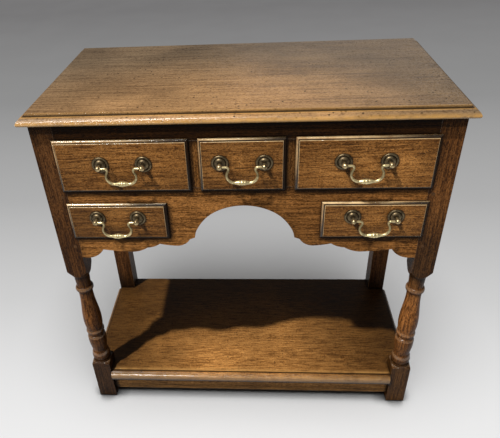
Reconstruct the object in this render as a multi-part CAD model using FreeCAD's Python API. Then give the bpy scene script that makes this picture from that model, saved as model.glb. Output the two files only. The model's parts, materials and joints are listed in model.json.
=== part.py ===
import FreeCAD
import Part
import math
import os

# Oak lowboy: a small side table with five drawers, an arched apron and a potboard near the floor.
# Millimetres, +Z up. The drawers open towards -Y, and left means -X, as seen from the front.
# The origin lies on the floor under the middle of the overall box.

# Overall sizes
overall_height = 760.0
carcase_width = 742.0
carcase_depth = 338.0

# Top board
top_thickness = 19.5
top_front_overhang = 18.0
top_side_overhang = 12.5
top_back_overhang = 35.0
top_moulding_width = 14.0
top_moulding_step = 4.0
top_moulding_drop = 14.0
top_under_round_width = 5.0
top_under_round_drop = 4.5

# Legs
leg_size = 41.0
foot_block_height = 122.0
leg_block_drop = 39.0
foot_bevel = 4.0

# Turned stretch of the front legs, from the foot block upwards; the heights keep their proportions
# and fill the stretch between the two square blocks. The fullness is the share of its change in
# radius that a rounded member has made, from its thin end, at half its height.
turned_fullness = 0.82
foot_shoulder_drop = 4.0
foot_fillet_height = 5.0
foot_fillet_radius = 20.2
base_quirk_height = 2.0
base_quirk_radius = 18.6
base_bead_height = 26.0
base_bead_radius = 20.4
waist_height = 2.0
waist_radius = 16.2
cup_height = 42.0
cup_radius = 20.3
cup_rim_height = 7.0
groove_height = 6.0
groove_radius = 16.8
bead_height = 13.0
bead_radius = 20.2
bulb_foot_radius = 17.6
bulb_swell_height = 33.0
bulb_radius = 20.4
bulb_belly_height = 30.0
bulb_shoulder_radius = 18.1
bulb_taper_height = 38.0
collar_height = 15.0
collar_radius = 15.0
ring_height = 14.0
ring_radius = 19.3
neck_height = 32.0
neck_radius = 15.0
neck_top_radius = 16.6
pommel_height = 18.0
pommel_radius = 18.5

# Front rails, muntins and apron, all made from boards of one thickness
rail_thickness = 20.0
top_rail_height = 37.5
upper_opening_height = 95.0
middle_rail_height = 37.0
lower_opening_height = 70.0
lower_rail_height = 57.0
center_opening_width = 143.0
muntin_width = 26.5

# Arch and scrolls of the apron's lower edge; heights are above the apron's lowest edge
arch_half_width = 97.0
arch_side_width = 52.0
arch_spring_height = 39.0
arch_crown_depth = 40.0
arch_foot_rise = 50.0
arch_fillet_height = 46.0
inner_lobe_height = 30.0
inner_cusp_height = 35.0
ogee_height = 25.5
outer_lobe_height = 15.0
outer_cusp_height = 21.0
scroll_hollow_bow = 4.2
scroll_ogee_bow = 2.1
scroll_lobe_bow = 0.9

# Widths of the scrolls from the arch to the leg; they keep their proportions and fill that run
arch_fillet_width = 9.4
inner_hollow_width = 25.9
inner_lobe_width = 35.2
inner_ogee_width = 25.9
outer_ogee_width = 30.5
outer_lobe_width = 61.1
outer_hollow_width = 30.5
heel_width = 16.5

# Mortise and tenon joints
tenon_thickness = 8.0
tenon_length = 22.0
tenon_shoulder = 4.0
tenon_web = 3.0
stub_tenon_length = 8.0
peg_radius = 3.5
peg_inset = 9.5
peg_length = 24.0
peg_side_count = 8
panel_peg_inset = 58.0

# Side and back panels
side_thickness = 18.0
side_inset = 5.0
back_thickness = 12.0
back_inset = 6.0
back_tongue_length = 12.0
panel_bottom_rise = 6.0

# Potboard and the stretchers under it
potboard_top = 93.0
potboard_thickness = 26.0
potboard_front_overhang = 5.0
potboard_side_overhang = 8.0
potboard_back_setback = 3.0
potboard_moulding_width = 12.0
potboard_moulding_step = 2.0
potboard_moulding_drop = 17.0
potboard_under_round_width = 4.0
potboard_under_round_drop = 6.0
potboard_notch_gap = 0.3
stretcher_height = 43.0
stretcher_thickness = 20.0
stretcher_setback = 8.0

# Drawer runners, guides, kickers, partitions and stops
runner_ledge = 14.0
lower_runner_height = 17.0
housing_depth = 5.0
guide_height = 20.0
kicker_height = 16.0
partition_thickness = 12.0
partition_top_gap = 4.0
stop_length = 30.0
stop_height = 6.0
stop_inset = 24.0

# Drawers; the lip round each front lies on the frame
drawer_gap = 1.0
drawer_running_gap = 0.3
drawer_lip = 5.0
drawer_proud = 7.0
drawer_front_thickness = 20.0
drawer_moulding_width = 5.0
drawer_moulding_step = 1.8
drawer_moulding_drop = 5.0
drawer_side_thickness = 9.0
drawer_side_top_gap = 3.0
drawer_back_thickness = 9.0
drawer_back_gap = 18.0
drawer_bottom_thickness = 6.0
drawer_bottom_rise = 10.0
drawer_groove_depth = 4.0
dovetail_length = 10.0
dovetail_pin_width = 7.0
dovetail_angle = 8.13
upper_dovetail_count = 3
lower_dovetail_count = 2

# Bail handles
post_spacing = 78.0
post_reach = 16.0
upper_handle_rise = 6.5
lower_handle_rise = 10.5
post_shank_radius = 2.5
post_neck_radius = 3.2
post_head_radius = 5.2
post_collar_radius = 4.6
post_collar_height = 1.4
shank_fit = 0.06
rose_radius = 15.0
rose_rim_height = 1.4
rose_bead_radius = 13.0
rose_bead_height = 2.6
rose_groove_radius = 10.6
rose_dome_radius = 6.4
rose_dome_height = 5.6
rose_dome_bulge = 0.5
nut_across = 9.0
nut_thickness = 4.0
shank_end = 2.0
bail_pin_radius = 2.0
bail_pin_fit = 0.06
bail_pin_depth = 7.0
bail_head_gap = 0.4
bail_neck_radius = 2.2
bail_bend_inset = 15.5
bail_bend_radius = 4.0
swan_radius = 9.0
swan_angle = 32.0
bail_corner_radius = 14.5
grip_swell_radius = 3.9
grip_swell_inset = 9.0
grip_ring_radius = 4.2
grip_ring_width = 2.0
grip_knop_radius = 4.8
grip_knop_half_length = 4.2
grip_knop_shoulder = 2.5
grip_quirk_radius = 2.8

# Extra length by which a cutting tool runs past the face that it leaves
cut_margin = 5.0

# Places that follow from the sizes above
handle_reach = drawer_proud + post_reach + max(grip_knop_radius, post_head_radius)
front_reach = max(top_front_overhang, handle_reach)
back_reach = carcase_depth + top_back_overhang
face = (front_reach - back_reach) / 2.0
rail_back = face + rail_thickness
front_leg_back = face + leg_size
rear_leg_front = face + carcase_depth - leg_size
carcase_back = face + carcase_depth
tenon_front = face + (rail_thickness - tenon_thickness) / 2.0
tenon_back = tenon_front + tenon_thickness
back_panel_front = carcase_back - back_inset - back_thickness

leg_outer = carcase_width / 2.0
leg_inner = leg_outer - leg_size
leg_axis = leg_outer - leg_size / 2.0
side_outer = leg_outer - side_inset
side_inner = side_outer - side_thickness
center_half = center_opening_width / 2.0
muntin_outer = center_half + muntin_width
lower_inner = arch_half_width + arch_side_width

top_underside = overall_height - top_thickness
upper_top = top_underside - top_rail_height
upper_bottom = upper_top - upper_opening_height
lower_top = upper_bottom - middle_rail_height
lower_bottom = lower_top - lower_opening_height
apron_bottom = lower_bottom - lower_rail_height
panel_bottom = apron_bottom + panel_bottom_rise
turning_top = apron_bottom - leg_block_drop
potboard_underside = potboard_top - potboard_thickness
stretcher_bottom = potboard_underside - stretcher_height

drawer_field = face - drawer_proud
drawer_front_back = drawer_field + drawer_front_thickness
drawer_rear = back_panel_front - drawer_back_gap
handle_axis = drawer_field - post_reach

X = FreeCAD.Vector(1, 0, 0)
Y = FreeCAD.Vector(0, 1, 0)
Z = FreeCAD.Vector(0, 0, 1)


def vec(x, y, z):
    return FreeCAD.Vector(x, y, z)


def block(x, y, z):
    """Box between a low and a high value along each axis."""
    return Part.makeBox(x[1] - x[0], y[1] - y[0], z[1] - z[0], vec(x[0], y[0], z[0]))


def rod(radius, start, direction, length):
    return Part.makeCylinder(radius, length, start, direction)


def line(start, end):
    return Part.LineSegment(start, end).toShape()


def arc(start, middle, end):
    return Part.Arc(start, middle, end).toShape()


def turned_arc(start, middle, end):
    """Arc held as a spline, for outlines that are revolved: the turned face stays one light surface."""
    return Part.Arc(start, middle, end).toBSpline().toShape()


def spaced(start, end, sizes):
    """Marks from one end to the other, spaced in proportion to the given sizes."""
    scale = (end - start) / sum(sizes)
    marks = [start]
    for size in sizes:
        marks.append(marks[-1] + size * scale)
    return marks


def closed_face(edges):
    return Part.Face(Part.Wire(edges))


def polygon_face(points):
    return Part.Face(Part.makePolygon(points + points[:1]))


def flip(shape):
    """The same piece on the other side of the middle plane."""
    return shape.mirror(vec(0, 0, 0), X)


def join(pieces):
    return pieces[0].fuse(pieces[1:]).removeSplitter()


def save(name, pieces):
    """Write one node; a list holds the separate solids of a group."""
    solids = []
    for piece in pieces:
        solids.extend(piece.Solids)
    for solid in solids:
        if not solid.isValid():
            raise ValueError(name + " is not a valid solid")
    Part.makeCompound(solids).exportStep("parts/" + name + ".step")


def save_pair(name, right):
    save(name + "_left", [flip(right)])
    save(name + "_right", [right])


def moulding_waste(corner, inward, outward, run, width, step, drop):
    """Wood that a thumbnail moulding takes off one edge of a board.

    The corner is the edge's start in the plane of the board's face. A small step at the given
    width is followed by a quarter round that falls to the drop at the edge itself.
    """
    rise = drop - step
    radius = (width ** 2 + rise ** 2) / (2.0 * rise)
    half_turn = math.asin(min(1.0, width / radius)) / 2.0

    def at(inset, depth):
        return corner + inward * inset - outward * depth

    inner = at(width, step)
    middle = at(width - radius * math.sin(half_turn), step + radius * (1.0 - math.cos(half_turn)))
    edge = at(0.0, drop)
    outline = [arc(inner, middle, edge)]
    corners = [edge, at(-cut_margin, drop), at(-cut_margin, -cut_margin), at(width, -cut_margin), inner]
    for start, end in zip(corners, corners[1:]):
        outline.append(line(start, end))
    return closed_face(outline).extrude(run)


def top_board():
    half = leg_outer + top_side_overhang
    front = face - top_front_overhang
    back = face + back_reach
    board = block((-half, half), (front, back), (top_underside, overall_height))
    upper = (top_moulding_width, top_moulding_step, top_moulding_drop)
    under = (top_under_round_width, 0.0, top_under_round_drop)
    waste = []
    for level, outward, moulding in ((overall_height, Z, upper), (top_underside, -Z, under)):
        run_x = X * (2.0 * half)
        run_y = Y * (back - front)
        waste.append(moulding_waste(vec(-half, front, level), Y, outward, run_x, *moulding))
        waste.append(moulding_waste(vec(-half, front, level), X, outward, run_y, *moulding))
        waste.append(moulding_waste(vec(half, front, level), -X, outward, run_y, *moulding))
    return board.cut(waste)


def turned_outline():
    """Half section of a front leg: distance from the axis as x, height as z."""
    corner = leg_size / math.sqrt(2.0)
    reach = leg_size
    levels = spaced(foot_block_height, turning_top, [
        foot_fillet_height, base_quirk_height, base_bead_height, waist_height, cup_height, cup_rim_height,
        groove_height, bead_height, bulb_swell_height, bulb_belly_height, bulb_taper_height,
        collar_height, ring_height, neck_height, pommel_height])
    base, quirk, base_bead, waist, cup, rim, groove, bead = levels[:8]
    bulb, belly, bulb_shoulder, collar, ring, neck, pommel = levels[8:15]
    foot_slope = foot_shoulder_drop / (corner - foot_fillet_radius)
    foot_end = foot_block_height - (reach - foot_fillet_radius) * foot_slope
    pommel_slope = (turning_top - pommel) / (corner - pommel_radius)
    pommel_end = turning_top + (reach - corner) * pommel_slope

    def at(radius, height):
        return vec(radius, 0.0, height)

    def swell(start_radius, start, middle_radius, end_radius, end):
        return turned_arc(at(start_radius, start), at(middle_radius, (start + end) / 2.0),
                          at(end_radius, end))

    def rounded(start_radius, start, end_radius, end):
        thin = min(start_radius, end_radius)
        change = abs(end_radius - start_radius)
        return swell(start_radius, start, thin + change * turned_fullness, end_radius, end)

    bulb_curve = Part.BSplineCurve()
    bulb_curve.interpolate(Points=[at(bulb_foot_radius, bulb), at(bulb_radius, belly),
                                   at(bulb_shoulder_radius, bulb_shoulder), at(collar_radius, collar)])
    foot = [
        line(at(0, 0), at(reach, 0)),
        line(at(reach, 0), at(reach, foot_end)),
        line(at(reach, foot_end), at(foot_fillet_radius, base)),
    ]
    lower_stretch = [
        line(at(foot_fillet_radius, base), at(foot_fillet_radius, quirk)),
        line(at(foot_fillet_radius, quirk), at(base_quirk_radius, quirk)),
        line(at(base_quirk_radius, quirk), at(base_quirk_radius, base_bead)),
        swell(base_quirk_radius, base_bead, base_bead_radius, waist_radius, waist),
        line(at(waist_radius, waist), at(waist_radius, cup)),
        rounded(waist_radius, cup, cup_radius, rim),
        rounded(cup_radius, rim, groove_radius, groove),
        line(at(groove_radius, groove), at(groove_radius, bead)),
        swell(groove_radius, bead, bead_radius, bulb_foot_radius, bulb),
        bulb_curve.toShape(),
    ]
    upper_stretch = [
        line(at(collar_radius, collar), at(collar_radius, ring)),
        swell(collar_radius, ring, ring_radius, neck_radius, neck),
        line(at(neck_radius, neck), at(neck_top_radius, pommel)),
        line(at(neck_top_radius, pommel), at(pommel_radius, pommel)),
        line(at(pommel_radius, pommel), at(reach, pommel_end)),
    ]
    block_above = [
        line(at(reach, pommel_end), at(reach, top_underside)),
        line(at(reach, top_underside), at(0, top_underside)),
        line(at(0, top_underside), at(0, 0)),
    ]
    return foot + lower_stretch + upper_stretch + block_above


def square_leg(y):
    """Square post with its foot bevelled."""
    post = block((leg_inner, leg_outer), y, (0.0, top_underside))
    foot_edges = [edge for edge in post.Edges if edge.BoundBox.ZMax < foot_bevel]
    return post.makeChamfer(foot_bevel, foot_edges)


def front_leg():
    turned = closed_face(turned_outline()).revolve(vec(0, 0, 0), Z, 360)
    turned.translate(vec(leg_axis, face + leg_size / 2.0, 0))
    return square_leg((face, front_leg_back)).common(turned)


def top_rail():
    heights = (upper_top, top_underside)
    body = block((-leg_inner, leg_inner), (face, rail_back), heights)
    return join([body] + end_tenons(heights, tenon_front))


def end_tenons(heights, y):
    """A tenon at each end of a rail that runs between two legs."""
    tenon = block((leg_inner, leg_inner + tenon_length), (y, y + tenon_thickness),
                  (heights[0] + tenon_shoulder, heights[1] - tenon_shoulder))
    return [tenon, flip(tenon)]


def muntin():
    body = block((center_half, muntin_outer), (face, rail_back), (upper_bottom, upper_top))
    stub = block((center_half + tenon_shoulder / 2.0, muntin_outer - tenon_shoulder / 2.0),
                 (tenon_front, tenon_back),
                 (upper_bottom - stub_tenon_length, upper_top + stub_tenon_length))
    return join([body, stub])


def apron_outline():
    """Right half of the apron's lower edge, from the crown of the arch to the leg."""
    crown = upper_bottom - arch_crown_depth
    spring = apron_bottom + arch_spring_height
    foot = apron_bottom + arch_foot_rise
    rise = crown - spring
    foot_x = arch_half_width * math.sqrt(1.0 - ((foot - spring) / rise) ** 2)

    marks = spaced(arch_half_width, leg_inner, [
        arch_fillet_width, inner_hollow_width, inner_lobe_width, inner_ogee_width,
        outer_ogee_width, outer_lobe_width, outer_hollow_width, heel_width])
    heights = [arch_fillet_height, inner_lobe_height, inner_cusp_height, ogee_height,
               outer_lobe_height, outer_cusp_height, 0.0, 0.0]
    points = [vec(x, face, apron_bottom + height) for x, height in zip(marks[1:], heights)]
    bows = [scroll_hollow_bow, scroll_lobe_bow, scroll_ogee_bow, scroll_ogee_bow,
            scroll_lobe_bow, scroll_hollow_bow]

    def bowed(start, end, bow):
        chord = end - start
        down = vec(chord.z, 0.0, -chord.x).normalize()
        return arc(start, (start + end) * 0.5 + down * bow, end)

    def on_arch(x):
        return vec(x, face, spring + rise * math.sqrt(1.0 - (x / arch_half_width) ** 2))

    turns = (0.0, 25.0, 50.0, 70.0, 90.0)
    fall = vec(arch_half_width * (foot - spring) / rise, 0.0, -rise * foot_x / arch_half_width)
    arch = Part.BSplineCurve()
    arch.interpolate(Points=[on_arch(foot_x * math.sin(math.radians(turn))) for turn in turns],
                     InitialTangent=X, FinalTangent=fall)
    scrolls = [bowed(start, end, bow) for start, end, bow in zip(points, points[1:], bows)]
    fillet = line(vec(foot_x, face, foot), points[0])
    heel = line(points[-2], points[-1])
    return [arch.toShape(), fillet] + scrolls + [heel]


def apron():
    lower_edge = apron_outline()
    crown = vec(0, face, upper_bottom - arch_crown_depth)
    corners = [vec(leg_inner, face, apron_bottom), vec(leg_inner, face, upper_bottom),
               vec(0, face, upper_bottom), crown]
    sides = [line(start, end) for start, end in zip(corners, corners[1:])]
    half = closed_face(lower_edge + sides).extrude(Y * rail_thickness)
    opening = block((lower_inner, leg_inner + cut_margin), (face - cut_margin, rail_back + cut_margin),
                    (lower_bottom, lower_top))
    half = half.cut(opening)
    board = join([half, flip(half)])
    return join([board] + end_tenons((lower_top, upper_bottom), tenon_front)
                + end_tenons((apron_bottom, lower_bottom), tenon_front))


def side_panel():
    """Side board with a long tenon into each leg, clear of the front rails' tenons."""
    middle = (side_outer + side_inner) / 2.0
    body = block((side_inner, side_outer), (front_leg_back, rear_leg_front), (panel_bottom, top_underside))
    reach = front_leg_back - tenon_back - tenon_web
    tenon = block((middle - tenon_thickness / 2.0, middle + tenon_thickness / 2.0),
                  (front_leg_back - reach, rear_leg_front + reach),
                  (panel_bottom + tenon_shoulder, top_underside - tenon_shoulder))
    return join([body, tenon])


def back_panel():
    body = block((-leg_inner, leg_inner), (back_panel_front, back_panel_front + back_thickness),
                 (panel_bottom, top_underside))
    edge = (back_thickness - tenon_thickness) / 2.0
    reach = leg_inner + back_tongue_length
    tongue = block((-reach, reach), (back_panel_front + edge, back_panel_front + edge + tenon_thickness),
                   (panel_bottom + tenon_shoulder, top_underside - tenon_shoulder))
    return join([body, tongue])


def long_stretcher(y):
    """Stretcher between two legs of the front or the back."""
    heights = (stretcher_bottom, potboard_underside)
    body = block((-leg_inner, leg_inner), (y, y + stretcher_thickness), heights)
    return join([body] + end_tenons(heights, y + (stretcher_thickness - tenon_thickness) / 2.0))


def side_stretcher():
    outer = leg_outer - stretcher_setback
    inner = outer - stretcher_thickness
    middle = (outer + inner) / 2.0
    cross_tenon_back = stretcher_setback + (stretcher_thickness + tenon_thickness) / 2.0
    reach = leg_size - cross_tenon_back - tenon_web
    body = block((inner, outer), (front_leg_back, rear_leg_front), (stretcher_bottom, potboard_underside))
    tenon = block((middle - tenon_thickness / 2.0, middle + tenon_thickness / 2.0),
                  (front_leg_back - reach, rear_leg_front + reach),
                  (stretcher_bottom + tenon_shoulder, potboard_underside - tenon_shoulder))
    return join([body, tenon])


def potboard():
    """Low shelf board, moulded on the front and the sides and notched round the legs."""
    heights = (potboard_underside, potboard_top)
    front = face - potboard_front_overhang
    back = carcase_back - potboard_back_setback
    half = leg_outer + potboard_side_overhang
    notch_x = leg_inner - potboard_notch_gap
    notch_front = front_leg_back + potboard_notch_gap
    notch_back = rear_leg_front - potboard_notch_gap
    board = block((-half, half), (front, back), heights)
    upper = (potboard_moulding_width, potboard_moulding_step, potboard_moulding_drop)
    under = (potboard_under_round_width, 0.0, potboard_under_round_drop)
    run_x = X * (2.0 * half)
    run_y = Y * (notch_back - notch_front)
    waste = []
    for level, outward, moulding in ((potboard_top, Z, upper), (potboard_underside, -Z, under)):
        waste.append(moulding_waste(vec(-half, front, level), Y, outward, run_x, *moulding))
        waste.append(moulding_waste(vec(-half, notch_front, level), X, outward, run_y, *moulding))
        waste.append(moulding_waste(vec(half, notch_front, level), -X, outward, run_y, *moulding))
    for y in ((front - cut_margin, notch_front), (notch_back, back + cut_margin)):
        notch = block((notch_x, half + cut_margin), y,
                      (potboard_underside - cut_margin, potboard_top + cut_margin))
        waste.extend([notch, flip(notch)])
    return board.cut(waste)


def peg_places():
    """Middle of each pegged tenon on the right-hand legs: start point and direction of the peg."""
    x = leg_inner + peg_inset
    places = []
    for low, high in ((upper_top, top_underside), (lower_top, upper_bottom), (apron_bottom, lower_bottom)):
        places.append((vec(x, face, (low + high) / 2.0), Y))
    for y in (front_leg_back - peg_inset, rear_leg_front + peg_inset):
        for z in (panel_bottom + panel_peg_inset, top_underside - panel_peg_inset):
            places.append((vec(leg_outer, y, z), -X))
    return places


def whittled_peg(start, direction):
    """Flat-sided peg, driven from the face of the leg through the tenon behind it."""
    across = Z.cross(direction)
    corners = []
    for index in range(peg_side_count):
        turn = 2.0 * math.pi * (index + 0.5) / peg_side_count
        corners.append(start + across * (peg_radius * math.cos(turn)) + Z * (peg_radius * math.sin(turn)))
    return polygon_face(corners).extrude(direction * peg_length)


def pegs():
    right = [whittled_peg(start, direction) for start, direction in peg_places()]
    return right + [flip(peg) for peg in right]


def side_strip(heights, front):
    """Strip along a side panel, narrowed where it passes between the legs."""
    narrow = block((leg_inner - runner_ledge, leg_inner), (front, back_panel_front), heights)
    wide = block((leg_inner, side_inner), (front_leg_back, rear_leg_front), heights)
    return join([narrow, wide])


def muntin_strip(heights, front):
    """Strip behind a muntin that serves the drawers on both sides of it."""
    return block((center_half - runner_ledge, muntin_outer + runner_ledge),
                 (front, back_panel_front), heights)


def upper_runners():
    heights = (lower_top, upper_bottom)
    front = rail_back - housing_depth
    return [side_strip(heights, front), muntin_strip(heights, front)]


def lower_runners():
    heights = (lower_bottom - lower_runner_height, lower_bottom)
    front = rail_back - housing_depth
    inner = block((lower_inner, lower_inner + runner_ledge), (front, back_panel_front), heights)
    return [side_strip(heights, front), inner]


def drawer_guides():
    """Strips on the runners that keep the drawers in line."""
    upper = (upper_bottom, upper_bottom + guide_height)
    lower = (lower_bottom, lower_bottom + guide_height)
    along_panel = (front_leg_back, rear_leg_front)
    return [
        block((leg_inner, side_inner), along_panel, upper),
        block((center_half, muntin_outer), (rail_back, back_panel_front), upper),
        block((leg_inner, side_inner), along_panel, lower),
    ]


def kickers():
    """Strips over the drawer sides that stop an open drawer from tipping."""
    upper = (upper_top, top_underside)
    lower = block((lower_inner, lower_inner + runner_ledge), (rail_back, back_panel_front),
                  (lower_top, lower_top + kicker_height))
    return [side_strip(upper, rail_back), muntin_strip(upper, rail_back), lower]


def lower_partition():
    """Upright board beside the arch that carries the inner side of a lower drawer."""
    return block((lower_inner - partition_thickness, lower_inner),
                 (rail_back - housing_depth, back_panel_front),
                 (lower_bottom - lower_runner_height, upper_bottom - partition_top_gap))


def drawer_stops(openings):
    """Two blocks behind each closed drawer front, on the rail under it."""
    stops = []
    for x, z, _ in openings.values():
        for start in (x[0] + stop_inset, x[1] - stop_inset - stop_length):
            stops.append(block((start, start + stop_length), (drawer_front_back, rail_back),
                               (z[0], z[0] + stop_height)))
    return stops


def tails(x, y, z, count, wide_first):
    """Row of dovetails on the end of a drawer side; y and z are the ends of the joint."""
    pitch = (z[1] - z[0]) / count
    wide = (pitch - dovetail_pin_width) / 2.0
    narrow = wide - (y[1] - y[0]) * math.tan(math.radians(dovetail_angle))
    near, far = (wide, narrow) if wide_first else (narrow, wide)
    row = []
    for index in range(count):
        middle = z[0] + pitch * (index + 0.5)
        corners = [vec(x[0], y[0], middle - near), vec(x[0], y[1], middle - far),
                   vec(x[0], y[1], middle + far), vec(x[0], y[0], middle + near)]
        row.append(polygon_face(corners).extrude(X * (x[1] - x[0])))
    return row


def drawer_front(x, z):
    """Front board: a moulded lip all round over the frame, and the part that enters the opening."""
    lip_x = (x[0] - drawer_lip, x[1] + drawer_lip)
    lip_z = (z[0] - drawer_lip, z[1] + drawer_lip)
    moulding = (drawer_moulding_width, drawer_moulding_step, drawer_moulding_drop)
    run_x = X * (lip_x[1] - lip_x[0])
    run_z = Z * (lip_z[1] - lip_z[0])
    low_left = vec(lip_x[0], drawer_field, lip_z[0])
    lip = block(lip_x, (drawer_field, face), lip_z).cut([
        moulding_waste(low_left, Z, -Y, run_x, *moulding),
        moulding_waste(vec(lip_x[0], drawer_field, lip_z[1]), -Z, -Y, run_x, *moulding),
        moulding_waste(low_left, X, -Y, run_z, *moulding),
        moulding_waste(vec(lip_x[1], drawer_field, lip_z[0]), -X, -Y, run_z, *moulding),
    ])
    entering = block((x[0] + drawer_gap, x[1] - drawer_gap), (face, drawer_front_back),
                     (z[0] + drawer_gap, z[1] - drawer_gap))
    return join([lip, entering])


def drawer(opening, handle_rise):
    """Pieces of one drawer, by name, for an opening given as x ends, z ends and dovetail count."""
    x, z, count = opening
    width = (x[0] + drawer_gap, x[1] - drawer_gap)
    front_z = (z[0] + drawer_gap, z[1] - drawer_gap)
    side_z = (z[0] + drawer_running_gap, z[1] - drawer_side_top_gap)
    floor = z[0] + drawer_bottom_rise
    floor_top = floor + drawer_bottom_thickness
    back_front = drawer_rear - drawer_back_thickness
    inner = (width[0] + drawer_side_thickness, width[1] - drawer_side_thickness)

    front = drawer_front(x, z)
    bottom = block((inner[0] - drawer_groove_depth, inner[1] + drawer_groove_depth),
                   (drawer_front_back - drawer_groove_depth, drawer_rear), (floor, floor_top))
    sides = []
    for side_x in ((width[0], inner[0]), (inner[1], width[1])):
        board = [block(side_x, (drawer_front_back, back_front), side_z),
                 block(side_x, (back_front, drawer_rear), (side_z[0], floor_top))]
        joint_y = (drawer_front_back - dovetail_length, drawer_front_back)
        board += tails(side_x, joint_y, front_z, count, True)
        board += tails(side_x, (back_front, drawer_rear), (floor_top, side_z[1]), count, False)
        sides.append(join(board))
    back = block(width, (back_front, drawer_rear), (floor_top, side_z[1])).cut(sides)
    front = front.cut(sides + [bottom])
    sides = [side.cut(bottom) for side in sides]

    middle_x = (x[0] + x[1]) / 2.0
    handle_z = (z[0] + z[1]) / 2.0 + handle_rise
    mounts = []
    for hand in (-1.0, 1.0):
        post_x = middle_x + hand * post_spacing / 2.0
        mounts += handle_mount(post_x, handle_z, hand)
        hole_start = vec(post_x, drawer_field - cut_margin, handle_z)
        front = front.cut(rod(post_shank_radius + shank_fit, hole_start, Y,
                              drawer_front_thickness + 2.0 * cut_margin))
    bail_solid = bail()
    bail_solid.translate(vec(middle_x, handle_axis, handle_z))
    return {"front": [front], "left_side": [sides[0]], "right_side": [sides[1]], "back": [back],
            "bottom": [bottom], "handle_mounts": mounts, "bail": [bail_solid]}


def revolved_along_y(edges, x, z):
    """Turned piece: the outline has the distance from the axis as x and the place along it as y."""
    solid = closed_face(edges).revolve(vec(0, 0, 0), Y, 360)
    solid.translate(vec(x, drawer_field, z))
    return solid


def chain(points):
    return [line(start, end) for start, end in zip(points, points[1:])]


def handle_mount(x, z, hand):
    """Rose, pierced post and nut that carry one end of a bail; hand is -1 for the left end."""
    bore = post_shank_radius + shank_fit
    nut_front = drawer_front_thickness
    collar_front = -(rose_dome_height + post_collar_height)
    neck_meets_head = -post_reach + math.sqrt(post_head_radius ** 2 - post_neck_radius ** 2)
    end = nut_front + nut_thickness + shank_end

    def at(radius, depth):
        return vec(radius, depth, 0.0)

    rose = chain([at(bore, -rose_dome_height), at(bore, 0.0), at(rose_radius, 0.0),
                  at(rose_radius, -rose_rim_height)])
    rose.append(turned_arc(at(rose_radius, -rose_rim_height), at(rose_bead_radius, -rose_bead_height),
                           at(rose_groove_radius, -rose_rim_height)))
    dome_middle = at((rose_groove_radius + rose_dome_radius) / 2.0 + rose_dome_bulge,
                     -(rose_rim_height + 2.0 * rose_dome_height) / 3.0)
    rose.append(turned_arc(at(rose_groove_radius, -rose_rim_height), dome_middle,
                           at(rose_dome_radius, -rose_dome_height)))
    rose += chain([at(rose_dome_radius, -rose_dome_height), at(bore, -rose_dome_height)])

    post = chain([at(0.0, -post_reach - post_head_radius), at(0.0, end), at(post_shank_radius, end),
                  at(post_shank_radius, -rose_dome_height), at(post_collar_radius, -rose_dome_height),
                  at(post_collar_radius, collar_front), at(post_neck_radius, collar_front),
                  at(post_neck_radius, neck_meets_head)])
    post.append(turned_arc(at(post_neck_radius, neck_meets_head), at(post_head_radius, -post_reach),
                           at(0.0, -post_reach - post_head_radius)))
    post_solid = revolved_along_y(post, x, z)
    hole_start = vec(x + hand * (bail_pin_depth - post_head_radius + bail_pin_fit), handle_axis, z)
    post_solid = post_solid.cut(rod(bail_pin_radius + bail_pin_fit, hole_start, X * -hand,
                                    2.0 * post_head_radius))

    half = nut_across / 2.0
    nut = block((x - half, x + half), (drawer_front_back, drawer_front_back + nut_thickness),
                (z - half, z + half))
    nut = nut.cut(rod(bore, vec(x, drawer_front_back - cut_margin, z), Y, nut_thickness + 2.0 * cut_margin))
    return [revolved_along_y(rose, x, z), post_solid, nut]


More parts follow.
